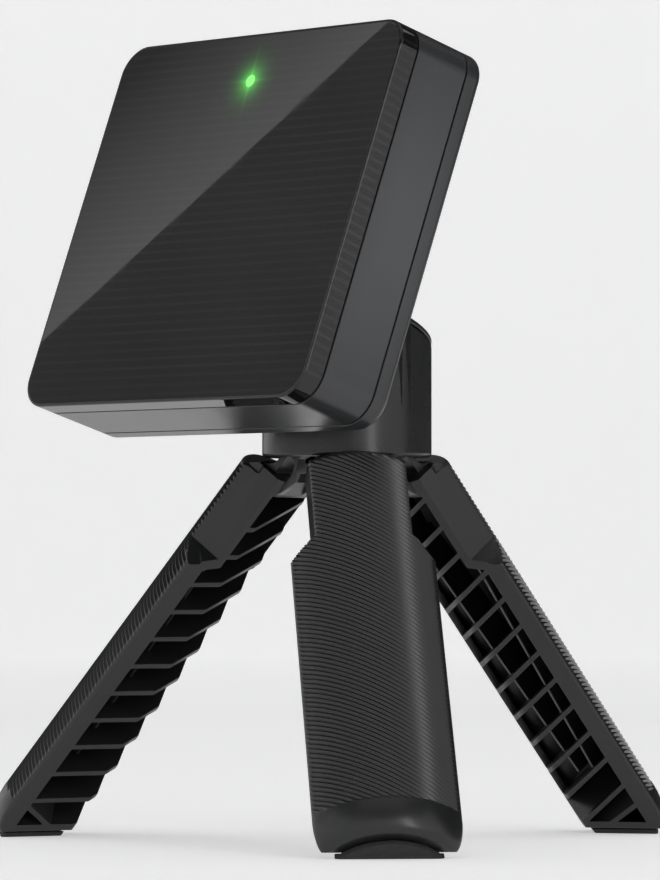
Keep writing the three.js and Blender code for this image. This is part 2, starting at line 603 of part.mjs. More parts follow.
// Everything below the foot: square to the leg outside the knee, level when splayed inside it.
function belowFoot(raise) {
  const bottom = -LEG_BOTTOM + raise;
  const level = placed(box(-FAR, 0, -FAR, FAR, -FAR, 0), (g) => {
    g.rotateY(LEG_SPLAY);
    g.translate(FOOT.knee, 0, bottom);
  });
  return joined(box(-FAR, FAR, -FAR, FAR, bottom - FAR, bottom), level);
}

// Round envelope of the leg with its tapered foot, stood in by inset.
function footEnvelope(inset) {
  const taper = LEG_RADIUS - FOOT.taperDrop - inset;
  const straight = LEG_RADIUS - inset;
  const bulge = FOOT_BULGE.map(([drop, height]) => [straight - drop, -LEG_BOTTOM + height]);
  return turned([[0, -LEG_BOTTOM - 2], [taper - 1.2, -LEG_BOTTOM - 2], [taper - 1.2, -LEG_BOTTOM],
    [taper, -LEG_BOTTOM + 1.0], ...bulge, [straight, -FOOT.taperStart], [straight + 2, -FOOT.taperStart + 4],
    [straight + 2, 30], [0, 30]], 36);
}

function legOuter() {
  return prism(sectorShape(LEG_RADIUS, 0), -LEG_BOTTOM - 1, 20).intersect(footEnvelope(0));
}

// Removes the upper part beyond the two side flats, with the sloped steps below them.
function flatTools() {
  const run = FAR / FLAT.stepOut;
  const shape = outline([[FLAT.half, 30], [FLAT.half, -FLAT.end],
    [FLAT.half + FLAT.stepOut * run, -FLAT.end - FLAT.stepDown * run], [FLAT.half + FLAT.stepOut * run, 30]]);
  const slab = acrossLeg(shape);
  return [slab, placed(slab, (g) => g.rotateZ(Math.PI))];
}

// Extrudes an outline drawn in the leg's y-z plane along x.
function acrossLeg(shape) {
  return placed(prism(shape, -FAR, FAR), (g) => {
    g.rotateX(Math.PI / 2);
    g.rotateZ(Math.PI / 2);
  });
}

function legCavity() {
  const inner = sectorShape(LEG_RADIUS - RIM.width, -3, 5);
  const deep = sectorShape(LEG_RADIUS - LEG_WALL, RIM.thickness, 5);
  const bottom = -LEG_BOTTOM - 5;
  const top = -LIP_TOP - TOP_WALL;
  const narrow = FLAT.half - FLAT.wall;
  const upper = prism(inner, bottom, top).add(prism(deep, bottom, top)).intersect(footEnvelope(LEG_WALL));
  const keepNarrow = joined(box(-FAR, FAR, -narrow, narrow, -FAR, FAR), narrowBelow(narrow));
  return cut(upper.intersect(keepNarrow), belowFoot(FOOT.wall));
}

// The part of space below the side flats, where the cavity is as wide as the leg.
function narrowBelow(narrow) {
  const end = -FLAT.end - FLAT.wall;
  const wide = end - FLAT.stepDown;
  const out = narrow + FLAT.stepOut;
  return acrossLeg(outline([[-FAR, wide - FAR], [FAR, wide - FAR], [FAR, wide], [out, wide], [narrow, end],
    [-narrow, end], [-out, wide], [-FAR, wide]]));
}

// Slab at a depth below the hinge, whose plane sinks by skew along y and by lean along x.
function ribSlab(depth, thickness, skew, lean) {
  const slab = new THREE.BoxGeometry(80, 80, thickness);
  slab.applyMatrix4(new THREE.Matrix4().set(1, 0, 0, 0, 0, 1, 0, 0, -lean, -skew, 1, -depth, 0, 0, 0, 1));
  return solid(slab);
}

function webSlab(side) {
  const lean = Math.atan((WEB.half - WEB.end) / (WEB.to - WEB.from));
  const length = WEB.to - WEB.from;
  const web = box(WEB.edge, LEG_RADIUS - 1, -WEB.thickness / 2, WEB.thickness / 2, -length, 3);
  return placed(web, (g) => {
    g.rotateX(-side * lean);
    g.translate(0, side * WEB.half, -WEB.from);
  });
}

function neck() {
  const { radius, fillet, outer, wall } = NECK;
  const down = -LEG_TOP;
  const shape = outline([[HINGE_RADIUS - radius, 0], ...NECK_FRONT,
    [outer + fillet, down - 4], [outer + fillet, down],
    ...arcPoints(outer + fillet, down + fillet, fillet, 270, 180, 6), [outer, 0],
    ...arcPoints(HINGE_RADIUS, 0, radius, 0, 165, 11)]);
  const block = sideways(shape, NECK.half);
  const sides = prism(sectorShape(LEG_RADIUS, 0), -LEG_BOTTOM, 20);
  const slot = box(-FAR, FAR, -NECK.slot, NECK.slot, -NECK.radius - 0.9, 10);
  const pinBore = moved(placed(disc(PIN.bore, -20, 20, 24), (g) => g.rotateX(Math.PI / 2)), HINGE_RADIUS, 0, 0);
  const hollow = box(0, outer - wall, -NECK.slot - 1, NECK.slot + 1, down - 5, -NECK.radius - 3);
  const pocket = outline([...NECK_BACK, [outer - wall, -9.9], [outer - wall, -3.4]]);
  return cut(block.intersect(sides), slot, pinBore, hollow, sideways(pocket, NECK.half + 1));
}

function leg() {
  const outer = cut(legOuter(), legTopTool(), belowFoot(0), insideEdge(), ...flatTools());
  const shell = cut(outer, legCavity());
  const ribs = Array.from({ length: RIB.count }, (_, i) =>
    ribSlab(RIB.first + i * RIB.pitch, RIB.thickness, RIB.skew, 0));
  const betweenRims = box(-FAR, FAR, -BRACE.half, BRACE.half, -FAR, FAR);
  const brace = ribSlab(BRACE.depth, BRACE.thickness, 0, BRACE.lean).intersect(betweenRims);
  const inside = joined(...ribs, webSlab(1), webSlab(-1), brace).intersect(outer);
  return joined(shell, inside, neck());
}

// Rubber pad that follows the foot's two faces and stands proud of them.
function footPad() {
  const inset = FOOT_PAD.inset;
  const form = prism(sectorShape(FOOT_PAD.radius, inset), -LEG_BOTTOM - 20, 20);
  const inner = INNER_EDGE.bottom + inset;
  const keep = box(inner, FAR, -FOOT_PAD.side, FOOT_PAD.side, -FAR, FAR);
  const slab = cut(belowFoot(-GAP), belowFoot(-FOOT_PAD.thickness));
  return form.intersect(keep).intersect(slab);
}

function buildLegs() {
  const legSolid = leg();
  const padSolid = footPad();
  const pinSolid = placed(disc(PIN.radius, -PIN.half, PIN.half, 20), (g) => g.rotateX(Math.PI / 2));
  LEG_NAMES.forEach((name, i) => {
    const turn = new THREE.Group();
    turn.rotation.z = (LEG_AZIMUTHS[i] - 90) * DEG;
    const pivot = new THREE.Group();
    pivot.position.set(HINGE_RADIUS, 0, HINGE_HEIGHT);
    pivot.rotation.y = -LEG_SPLAY;
    root.add(turn);
    turn.add(pivot);
    add(pivot, `leg_${name}`, legSolid, legPlastic).position.x = -HINGE_RADIUS;
    add(pivot, `foot_pad_${name}`, padSolid, rubber).position.x = -HINGE_RADIUS;
    add(turn, `hinge_pin_${name}`, pinSolid, steel).position.set(HINGE_RADIUS, 0, HINGE_HEIGHT);
  });
}

buildMonitor();
buildHead();
buildHub();
buildLegs();

// Stand the object on its feet with the origin under the middle of its bounding box.
root.updateMatrixWorld(true);
const bounds = new THREE.Box3().setFromObject(root, true);
root.children.forEach((child) => {
  child.position.x -= (bounds.min.x + bounds.max.x) / 2;
  child.position.y -= (bounds.min.y + bounds.max.y) / 2;
  child.position.z -= bounds.min.z;
});

export default root;
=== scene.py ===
import json
import math

import bmesh
import bpy
import numpy as np
from mathutils import Matrix, Vector


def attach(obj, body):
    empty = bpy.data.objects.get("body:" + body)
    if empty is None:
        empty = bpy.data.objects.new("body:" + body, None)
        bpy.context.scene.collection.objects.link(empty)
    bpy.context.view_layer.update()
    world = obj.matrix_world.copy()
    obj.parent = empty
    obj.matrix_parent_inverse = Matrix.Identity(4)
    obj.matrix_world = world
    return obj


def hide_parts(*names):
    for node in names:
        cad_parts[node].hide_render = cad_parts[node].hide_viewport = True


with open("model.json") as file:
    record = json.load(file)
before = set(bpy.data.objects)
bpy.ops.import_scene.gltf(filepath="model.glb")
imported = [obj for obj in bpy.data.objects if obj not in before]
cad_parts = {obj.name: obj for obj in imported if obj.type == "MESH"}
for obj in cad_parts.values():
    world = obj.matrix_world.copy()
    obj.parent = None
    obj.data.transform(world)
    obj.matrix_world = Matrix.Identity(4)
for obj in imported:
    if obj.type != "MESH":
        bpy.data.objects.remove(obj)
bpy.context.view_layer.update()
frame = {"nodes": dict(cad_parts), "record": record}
NODES = frame["nodes"]
MM = 0.001

# ---- Places of the object's parts (millimetres unless said otherwise) ----
SHIFT = Vector((2.55185, -13.03751, -0.31550))  # from the tripod's axis and ground to the row frame
TILT = math.radians(20.85)
FACE_CENTRE = Vector((-0.5, -36.82, 129.37))
LEG_SPLAY = math.radians(38.89)
HINGE_RADIUS = 7.0
HINGE_HEIGHT = 80.2 + HINGE_RADIUS * math.tan(LEG_SPLAY / 2)
LEGS = {"right": 55.17, "back": 175.17, "left": -64.83}

MONITOR_PLACE = (
    Matrix.Translation((SHIFT + FACE_CENTRE) * MM)
    @ Matrix.Rotation(-TILT, 4, "X")
)


def leg_place(azimuth):
    """The leg's own frame: x outwards from the leg's axis, z up from the hinge."""
    return (
        Matrix.Translation(SHIFT * MM)
        @ Matrix.Rotation(math.radians(azimuth - 90), 4, "Z")
        @ Matrix.Translation((HINGE_RADIUS * MM, 0, HINGE_HEIGHT * MM))
        @ Matrix.Rotation(-LEG_SPLAY, 4, "Y")
        @ Matrix.Translation((-HINGE_RADIUS * MM, 0, 0))
    )


# ---- Material building ----
class Shader:
    """A Principled material whose colour, roughness and bump come from procedural nodes."""

    def __init__(self, name, **sockets):
        self.material = bpy.data.materials.new(name)
        self.material.use_nodes = True
        self.nodes = self.material.node_tree.nodes
        self.links = self.material.node_tree.links
        self.bsdf = next(n for n in self.nodes if n.type == "BSDF_PRINCIPLED")
        for socket, value in sockets.items():
            self.bsdf.inputs[socket.replace("_", " ")].default_value = value
        self.place = self.node("ShaderNodeTexCoord").outputs["Object"]
        self.normal = None

    def node(self, kind, inputs=None, **settings):
        n = self.nodes.new(kind)
        for key, value in settings.items():
            setattr(n, key, value)
        for key, value in (inputs or {}).items():
            socket = n.inputs[key]
            if isinstance(value, bpy.types.NodeSocket):
                self.links.new(value, socket)
            else:
                socket.default_value = value
        return n

    def math(self, operation, a, b=0.0, c=0.0):
        return self.node("ShaderNodeMath", {0: a, 1: b, 2: c}, operation=operation).outputs[0]

    def noise(self, size_mm, detail=2.0, roughness=0.5, stretch=(1, 1, 1)):
        """Noise whose features are about size_mm across, from 0 to 1."""
        place = self.node(
            "ShaderNodeMapping", {"Vector": self.place, "Scale": tuple(s / (size_mm * MM) for s in stretch)}
        ).outputs[0]
        return self.node(
            "ShaderNodeTexNoise",
            {"Vector": place, "Scale": 1.0, "Detail": detail, "Roughness": roughness},
        ).outputs["Fac"]

    def axis(self, index):
        return self.node("ShaderNodeSeparateXYZ", {0: self.place}).outputs[index]

    def spread(self, value, low, high, from_low=0.3, from_high=0.7):
        return self.node(
            "ShaderNodeMapRange",
            {"Value": value, "From Min": from_low, "From Max": from_high, "To Min": low, "To Max": high},
        ).outputs[0]

    def mix(self, factor, a, b):
        n = self.node("ShaderNodeMix", data_type="RGBA")
        for socket, value in ((n.inputs[0], factor), (n.inputs[6], a), (n.inputs[7], b)):
            if isinstance(value, bpy.types.NodeSocket):
                self.links.new(value, socket)
            else:
                socket.default_value = value
        return n.outputs[2]

    def set(self, socket, value):
        self.links.new(value, self.bsdf.inputs[socket])

    def bump(self, height, depth_mm, strength=1.0):
        inputs = {"Height": height, "Distance": depth_mm * MM, "Strength": strength}
        if self.normal is not None:
            inputs["Normal"] = self.normal
        self.normal = self.node("ShaderNodeBump", inputs).outputs[0]
        self.set("Normal", self.normal)

    def edges(self):
        """1 on worn convex edges, 0 elsewhere."""
        point = self.node("ShaderNodeNewGeometry").outputs["Pointiness"]
        return self.spread(point, 0.0, 1.0, 0.52, 0.60)


def rgba(value, tint=(1.0, 1.0, 1.0)):
    return (value * tint[0], value * tint[1], value * tint[2], 1.0)


COOL = (0.97, 1.0, 1.06)


CLOUDING = 0.06  # how far a plastic's colour drifts either way
EDGE_WEAR = 0.35


def plastic(name, value, roughness, grain_mm=0.16, grain_depth=0.003, tint=COOL):
    """Spark-textured moulded plastic with faint cloudiness and slightly polished edges."""
    s = Shader(name, Roughness=roughness)
    cloud = s.noise(7.0, 3.0)
    base = s.mix(cloud, rgba(value * (1 - CLOUDING), tint), rgba(value * (1 + CLOUDING), tint))
    worn = s.math("MULTIPLY", s.edges(), EDGE_WEAR)
    s.set("Base Color", s.mix(worn, base, rgba(value * 2.2, tint)))
    fine = s.noise(grain_mm, 2.0, 0.6)
    smear = s.noise(2.6, 4.0, 0.6)
    s.set("Roughness", s.spread(smear, roughness - 0.012, roughness + 0.016))
    s.bump(fine, grain_depth)
    return s.material


def rubber(name, value, roughness=0.75):
    s = Shader(name, Roughness=roughness)
    cloud = s.noise(3.0, 4.0)
    s.set("Base Color", s.mix(cloud, rgba(value * 0.8), rgba(value * 1.35)))
    s.set("Roughness", s.spread(s.noise(1.2, 3.0), roughness - 0.08, roughness + 0.08))
    s.bump(s.noise(0.35, 3.0, 0.65), 0.02)
    return s.material


def metal(name, colour, roughness, stretch=(1, 1, 1), grain_mm=0.4):
    s = Shader(name, Metallic=1.0, Roughness=roughness)
    streak = s.noise(grain_mm, 3.0, 0.6, stretch)
    dull = [c * 0.8 for c in colour] + [1.0]
    bright = [min(1, c * 1.1) for c in colour] + [1.0]
    s.set("Base Color", s.mix(streak, dull, bright))
    s.set("Roughness", s.spread(streak, roughness - 0.08, roughness + 0.1))
    s.bump(streak, 0.004)
    return s.material


def board():
    """Green solder mask with copper runs under it."""
    s = Shader("circuit_board", Roughness=0.35)
    x, z = s.axis(0), s.axis(2)
    wander = s.math("MULTIPLY", s.noise(9.0), 0.01)
    runs = s.math("FRACT", s.math("MULTIPLY", s.math("ADD", x, wander), 900.0))
    lines = s.math("GREATER_THAN", runs, 0.62)
    patches = s.math("GREATER_THAN", s.noise(5.0, 1.0), 0.52)
    copper = s.math("MULTIPLY", lines, patches)
    s.set("Base Color", s.mix(copper, (0.012, 0.085, 0.035, 1), (0.03, 0.17, 0.06, 1)))
    s.bump(copper, 0.02)
    s.set("Roughness", s.spread(s.math("ADD", z, s.noise(1.5)), 0.28, 0.42))
    return s.material


LIGHT_X, LIGHT_Z = 0.0, 30.2


def gloss_front():
    """Polished black window: fine lines across it, and a painted green glow, a halo with star spikes, round
    the status light.
    """
    s = Shader("gloss_front", Roughness=0.01, IOR=1.5)
    x = s.math("MULTIPLY", s.axis(0), 1 / MM)
    z = s.math("MULTIPLY", s.axis(2), 1 / MM)
    wave = s.math("SINE", s.math("MULTIPLY", z, 2 * math.pi / 2.0))
    drift = s.noise(6.0, 2.0, 0.5, (0.12, 1, 1))
    line = s.math("MULTIPLY", s.spread(wave, 0.0, 1.0, 0.2, 0.95), s.spread(drift, 0.35, 1.0))
    s.set("Base Color", s.mix(line, rgba(0.004), rgba(0.012)))
    s.set("Roughness", s.spread(s.noise(9.0, 4.0, 0.6), 0.0, 0.022))
    s.bump(s.noise(14.0, 1.0), 0.002)
    dx = s.math("SUBTRACT", x, LIGHT_X)
    dz = s.math("SUBTRACT", z, LIGHT_Z)
    squared = s.math("ADD", s.math("MULTIPLY", dx, dx), s.math("MULTIPLY", dz, dz))
    radius = s.math("SQRT", squared)

    def falloff(value, length):
        return s.math("EXPONENT", s.math("MULTIPLY", s.math("ABSOLUTE", value), -1 / length))

    # Painted glow: emission on the window itself, a halo and a cross of star spikes round the status light.
    painted_halo = s.math("MULTIPLY", falloff(radius, 1.55), 1.1)
    tall = s.math("MULTIPLY", falloff(dx, 0.3), falloff(dz, 1.9))
    wide = s.math("MULTIPLY", falloff(dz, 0.3), falloff(dx, 1.7))
    painted_spikes = s.math("MULTIPLY", s.math("ADD", tall, wide), 0.5)
    s.bsdf.inputs["Emission Color"].default_value = (0.16, 1.0, 0.13, 1)
    s.set("Emission Strength", s.math("ADD", painted_halo, painted_spikes))
    return s.material


def green_light():
    s = Shader("green_light", Roughness=0.3)
    s.bsdf.inputs["Base Color"].default_value = (0.1, 0.8, 0.1, 1)
    spot = s.noise(0.5, 2.0)
    s.set("Emission Color", s.mix(spot, (0.10, 0.95, 0.08, 1), (0.30, 1.0, 0.22, 1)))
    s.set("Emission Strength", s.spread(spot, 1.0, 1.5))
    return s.material


MATERIALS = {
    "gloss_front": gloss_front(),
    "satin_body": plastic("satin_body", 0.018, 0.24),
    "head_plastic": plastic("head_plastic", 0.008, 0.28),
    "leg_plastic": plastic("leg_plastic", 0.012, 0.30, grain_mm=0.2, grain_depth=0.005),
    "rubber": rubber("rubber", 0.012),
    "silicone": rubber("silicone", 0.02, 0.6),
    "green_light": green_light(),
    "circuit_board": board(),
    "tin_plate": metal("tin_plate", (0.55, 0.56, 0.57), 0.32, (1, 1, 6)),
    "steel": metal("steel", (0.42, 0.43, 0.44), 0.28),
    "brass": metal("brass", (0.62, 0.43, 0.17), 0.3),
    "battery_wrap": plastic("battery_wrap", 0.06, 0.4, tint=(0.4, 1.0, 2.2)),
    "cable_film": plastic("cable_film", 0.2, 0.35, tint=(2.0, 0.9, 0.25)),
    # Inner plastic: black plastic darkened below its own tone, as painted shade for the parts deep inside
    # the neck.
    "inner_plastic": plastic("inner_plastic", 0.007, 0.5),
}
SLOT_OF = {entry["node"]: entry["material_slot"] for entry in frame["record"]["subparts"]}
BODY_OF = {
    node: body for body, members in frame["record"]["behaviour"]["bodies"].items() for node in members
}


def finish_piece(obj, node, smooth_angle=32):
    """Gives a piece its slot's material, and lets it stand for its CAD node."""
    obj.data.materials.clear()
    obj.data.materials.append(MATERIALS[SLOT_OF[node]])
    obj.data.shade_smooth()
    obj.data.set_sharp_from_angle(angle=math.radians(smooth_angle))
    weighted = obj.modifiers.new("weighted", "WEIGHTED_NORMAL")
    weighted.keep_sharp = True
    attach(obj, BODY_OF[node])
    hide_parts(node)
    return obj


def new_object(name, mesh, place=Matrix.Identity(4)):
    obj = bpy.data.objects.new(name, mesh)
    bpy.context.scene.collection.objects.link(obj)
    obj.matrix_world = place
    return obj


def mesh_from(name, vertices, faces):
    mesh = bpy.data.meshes.new(name)
    mesh.from_pydata([Vector(v) * MM for v in vertices], [], faces)
    bm = bmesh.new()
    bm.from_mesh(mesh)
    bmesh.ops.recalc_face_normals(bm, faces=bm.faces)
    bm.to_mesh(mesh)
    bm.free()
    return mesh


FLAT_LIMIT = math.radians(1.5)  # triangles that meet at less than this become one face


def cleaned_copy(node, place):
    """A copy of a CAD node in the given frame, with its triangles joined into flat faces."""
    mesh = NODES[node].data.copy()
    mesh.transform(place.inverted())
    bm = bmesh.new()
    bm.from_mesh(mesh)
    bmesh.ops.remove_doubles(bm, verts=bm.verts, dist=2e-6)
    bmesh.ops.dissolve_limit(
        bm, angle_limit=FLAT_LIMIT, verts=bm.verts, edges=bm.edges, use_dissolve_boundaries=False
    )
    for edge in bm.edges:
        edge.smooth = True
    bm.to_mesh(mesh)
    bm.free()
    if mesh.attributes.get("custom_normal"):
        mesh.attributes.remove(mesh.attributes["custom_normal"])
    return mesh


def applied(obj):
    """The object's mesh with its modifiers applied."""
    bpy.context.view_layer.update()
    depsgraph = bpy.context.evaluated_depsgraph_get()
    mesh = bpy.data.meshes.new_from_object(obj.evaluated_get(depsgraph))
    obj.modifiers.clear()
    obj.data = mesh
    return obj


def bevelled(obj, width_mm, segments=2, angle=35):
    bevel = obj.modifiers.new("bevel", "BEVEL")
    bevel.width = width_mm * MM
    bevel.segments = segments
    bevel.limit_method = "ANGLE"
    bevel.angle_limit = math.radians(angle)
    bevel.use_clamp_overlap = False
    bevel.miter_outer = "MITER_SHARP"
    return applied(obj)


def cut_by(obj, tools):
    for tool in tools:
        cut = obj.modifiers.new("cut", "BOOLEAN")
        cut.operation = "DIFFERENCE"
        cut.solver = "EXACT"
        cut.object = tool
        applied(obj)
        bpy.data.objects.remove(tool)
    return obj


# ---- Monitor shells, lofted from rounded rectangles ----
BODY_WIDTH, BODY_HEIGHT, BODY_DEPTH = 89.0, 82.3, 23.05
BODY_RISE = 0.075  # how much higher each section sits per millimetre behind the front face
CORNER_RADIUS = 6.5
CORNER_STEPS = 20
WALL = 1.8


def loop(inset, depth):
    """Corner-rounded outline of the monitor, stood in by inset, at a depth behind the front face."""
    radius = max(CORNER_RADIUS - inset, 0.6)
    x, z = BODY_WIDTH / 2 - inset - radius, BODY_HEIGHT / 2 - inset - radius
    points = []
    for corner, (sx, sz) in enumerate(((1, 1), (-1, 1), (-1, -1), (1, -1))):
        for step in range(CORNER_STEPS + 1):
            angle = math.radians(90) * (corner + step / CORNER_STEPS)
            points.append((
                sx * x + radius * math.cos(angle),
                depth,
                sz * z + radius * math.sin(angle) + BODY_RISE * depth,
            ))
    return points


def lofted(stations, closed):
    """Skin through outlines; either a closed ring section or a cup whose two ends are capped."""
    loops = [loop(inset, depth) for inset, depth in stations]
    count = len(loops[0])
    vertices = [point for points in loops for point in points]
    faces = []
    spans = len(loops) if closed else len(loops) - 1
    for i in range(spans):
        a, b = i * count, (i + 1) % len(loops) * count
        for j in range(count):
            k = (j + 1) % count
            faces.append((a + j, a + k, b + k, b + j))
    if not closed:
        faces.append(tuple(range(count)))
        faces.append(tuple(reversed(range((len(loops) - 1) * count, len(loops) * count))))
    return vertices, faces


def rounding(inset0, depth0, inset1, depth1, steps, bulge_first="inset"):
    """Quarter-ellipse from one station to another; the named coordinate moves first."""
    result = []
    for step in range(steps + 1):
        a = math.pi / 2 * step / steps
        fast, slow = math.sin(a), 1 - math.cos(a)
        ti, td = (fast, slow) if bulge_first == "inset" else (slow, fast)
        result.append((inset0 + (inset1 - inset0) * ti, depth0 + (depth1 - depth0) * td))
    return result


def block(x0, x1, y0, y1, z0, z1):
    corners = [(x, y, z) for x in (x0, x1) for y in (y0, y1) for z in (z0, z1)]
    faces = [(0, 1, 3, 2), (4, 6, 7, 5), (0, 4, 5, 1), (2, 3, 7, 6), (0, 2, 6, 4), (1, 5, 7, 3)]
    return new_object("tool", mesh_from("tool", corners, faces), MONITOR_PLACE)


def bore(x, z, radius, y0, y1, steps=48):
    turns = np.linspace(0, 2 * math.pi, steps, False)
    ring = [(x + radius * math.cos(a), z + radius * math.sin(a)) for a in turns]
    vertices = [(px, y, pz) for y in (y0, y1) for px, pz in ring]
    faces = [(j, (j + 1) % steps, steps + (j + 1) % steps, steps + j) for j in range(steps)]
    faces += [tuple(range(steps)), tuple(reversed(range(steps, 2 * steps)))]
    return new_object("tool", mesh_from("tool", vertices, faces), MONITOR_PLACE)


SEAM_EDGE = 0.12  # rounding of the shells where they meet
FRONT_ROUND, REAR_ROUND = 0.6, 1.6
LIGHT_BORE = 1.36
FRONT_END, FRAME_START, FRAME_END, REAR_START = 4.75, 5.15, 18.45, 18.85

front_stations = (
    [(5.0, 0.0), (0.8, 0.0)]
    + rounding(FRONT_ROUND, 0.0, 0.0, FRONT_ROUND, 6)
    + [(0.0, FRONT_END - SEAM_EDGE), (SEAM_EDGE, FRONT_END), (WALL, FRONT_END), (WALL, WALL), (8.0, WALL)]
)
front = new_object("front_window", mesh_from("front_window", *lofted(front_stations, False)), MONITOR_PLACE)
cut_by(front, [bore(LIGHT_X, LIGHT_Z, LIGHT_BORE, -1, 3)])
finish_piece(front, "front_cover", 24)

frame_stations = [
    (WALL, FRAME_START), (SEAM_EDGE, FRAME_START), (0.0, FRAME_START + SEAM_EDGE),
    (0.0, FRAME_END - SEAM_EDGE), (SEAM_EDGE, FRAME_END), (WALL, FRAME_END),
]
middle = new_object("middle_band", mesh_from("middle_band", *lofted(frame_stations, True)), MONITOR_PLACE)
LEFT = -BODY_WIDTH / 2
SIDE_Y = 13.6
BUTTON_Z, PORT_Z = 16, -14
cut_by(middle, [
    block(LEFT - 1, LEFT + 6, SIDE_Y - 2.6, SIDE_Y + 2.6, BUTTON_Z - 5.8, BUTTON_Z + 5.8),
    block(LEFT - 1, LEFT + 1.4, SIDE_Y - 4.3, SIDE_Y + 4.3, PORT_Z - 8.8, PORT_Z + 8.8),
    block(LEFT - 1, LEFT + 6, SIDE_Y - 1.95, SIDE_Y + 1.95, PORT_Z - 4.8, PORT_Z + 4.8),
])
finish_piece(middle, "middle_frame", 24)

rear_stations = (
    [(WALL + 6, BODY_DEPTH - WALL), (WALL, BODY_DEPTH - WALL), (WALL, REAR_START), (SEAM_EDGE, REAR_START),
     (0.0, REAR_START + SEAM_EDGE)]
    + rounding(0.0, BODY_DEPTH - REAR_ROUND, REAR_ROUND, BODY_DEPTH, 8, "depth")
    + [(6.0, BODY_DEPTH)]
)
rear = new_object("rear_shell", mesh_from("rear_shell", *lofted(rear_stations, False)), MONITOR_PLACE)
THREAD_X, THREAD_Z, THREAD_BORE = 0.5, -20.2, 4.7
SCREW_X, SCREW_Z, SCREW_BORE = 36.2, 32.0, 2.5
rear_bores = [bore(THREAD_X, THREAD_Z, THREAD_BORE, 10, 30)]
for sx, sz in ((1, 1), (-1, 1), (-1, -1), (1, -1)):
    rear_bores.append(bore(sx * SCREW_X, sz * SCREW_Z, SCREW_BORE, BODY_DEPTH - 1.7, 30, 32))
cut_by(rear, rear_bores)
finish_piece(rear, "rear_cover", 24)

# ---- Legs, with ridges cut into their round outer side ----
RIDGE_PITCH = 1.1636
RIDGE_DEPTH = 0.40
RIDGE_SKEW, RIDGE_LEAN = 0.61, 0.3  # slope of the ridges across the leg, and towards its axis
RIDGE_SAMPLES = 6
FOOT_DEPTHS = [99.3, 100.3, 101.3, 102.3, 103.3, 104.1, 104.7, 105.2, 105.7, 106.3]
FOOT_RADII = [17.58, 17.52, 17.40, 17.22, 16.95, 16.64, 16.30, 15.82, 15.10, 13.90]
RIDGE_END = 97.6
LIP_END, LIP_ROUND = 10.0, 0.8  # the round side's square top and the rounding of its edge
CREST_RADIUS = 17.58
LEG_RADIUS = 17.7
SECTOR_ANGLE = math.radians(60) - math.asin(0.25 / LEG_RADIUS)
FLAT_HALF_WIDTH = 10.0
STEP_START, STEP_LENGTH, STEP_RISE = 29.6, 3.5, 5.2  # where each flat steps out to the full sector
SLEEVE_RADIUS = 40.0  # outside of the cutter, clear of the leg


def smoothstep(x):
    t = np.clip(x, 0, 1)
    return t * t * (3 - 2 * t)


def ridge_sleeve():
    """Cutter that leaves the leg's round side ridged, with smooth margins, a chamfer and a rounded foot."""
    rows = np.arange(-14.0, 126.0, RIDGE_PITCH / RIDGE_SAMPLES)
    cols = np.radians(np.linspace(-74, 74, 75))
    theta = cols[None, :]
    side = CREST_RADIUS * np.sin(theta)
    depth = rows[:, None] + RIDGE_SKEW * side - RIDGE_LEAN * CREST_RADIUS * (1 - np.cos(theta))
    phase = 2 * math.pi * rows[:, None] / RIDGE_PITCH
    groove = (0.5 + 0.5 * np.cos(phase)) ** 0.8
    step = np.clip((depth - STEP_START) / STEP_LENGTH, 0, 40)
    half_width = FLAT_HALF_WIDTH + STEP_RISE * step
    opening = np.minimum(np.arcsin(np.clip(half_width / LEG_RADIUS, 0, 1)), SECTOR_ANGLE)
    to_edge = (opening - np.abs(theta)) * CREST_RADIUS
    end = RIDGE_END + 1.3 * (np.cos(theta) - 0.57) / 0.43
    amount = smoothstep((end - depth) / 0.8) * smoothstep((depth - LIP_END - 0.7) / 0.6)
    beside_flats = 1 - smoothstep(step)
    margin = 1.0 - 1.6 * beside_flats
    amount = amount * smoothstep((to_edge - margin) / (0.9 - 0.5 * beside_flats))
    envelope = np.interp(depth, FOOT_DEPTHS, FOOT_RADII)
    lip = np.clip((LIP_END + LIP_ROUND - depth) / LIP_ROUND, 0, 1)
    envelope = envelope - LIP_ROUND * (1 - np.sqrt(1 - lip * lip))
    radius = envelope - RIDGE_DEPTH * groove * amount - np.clip(0.45 - 0.4 * beside_flats - to_edge, 0, 2.6)
    radius = np.maximum(radius, 3.0)
    x, y = radius * np.cos(theta), radius * np.sin(theta)
    inner = np.stack([x, y, -depth], axis=-1)
    count_rows, count_cols = len(rows), len(cols)
    vertices = [tuple(p) for p in inner.reshape(-1, 3)]
    faces = []
    for i in range(count_rows - 1):
        a = i * count_cols
        for j in range(count_cols - 1):
            faces.append((a + j, a + j + 1, a + count_cols + j + 1, a + count_cols + j))
    outer_top = len(vertices)
    for row in (0, count_rows - 1):
        for j in range(count_cols):
            across = (SLEEVE_RADIUS * math.cos(cols[j]), SLEEVE_RADIUS * math.sin(cols[j]))
            vertices.append((*across, -float(depth[row, j])))
    outer_bottom = outer_top + count_cols
    last = (count_rows - 1) * count_cols
    for j in range(count_cols - 1):
        faces.append((outer_top + j, outer_bottom + j, outer_bottom + j + 1, outer_top + j + 1))
        faces.append((j, outer_top + j, outer_top + j + 1, j + 1))
        faces.append((last + j, last + j + 1, outer_bottom + j + 1, outer_bottom + j))
    for j, turn in ((0, 1), (count_cols - 1, -1)):
        column = [i * count_cols + j for i in range(count_rows)]
        faces.append(tuple((column + [outer_bottom + j, outer_top + j])[::turn]))
    return mesh_from("sleeve", vertices, faces)


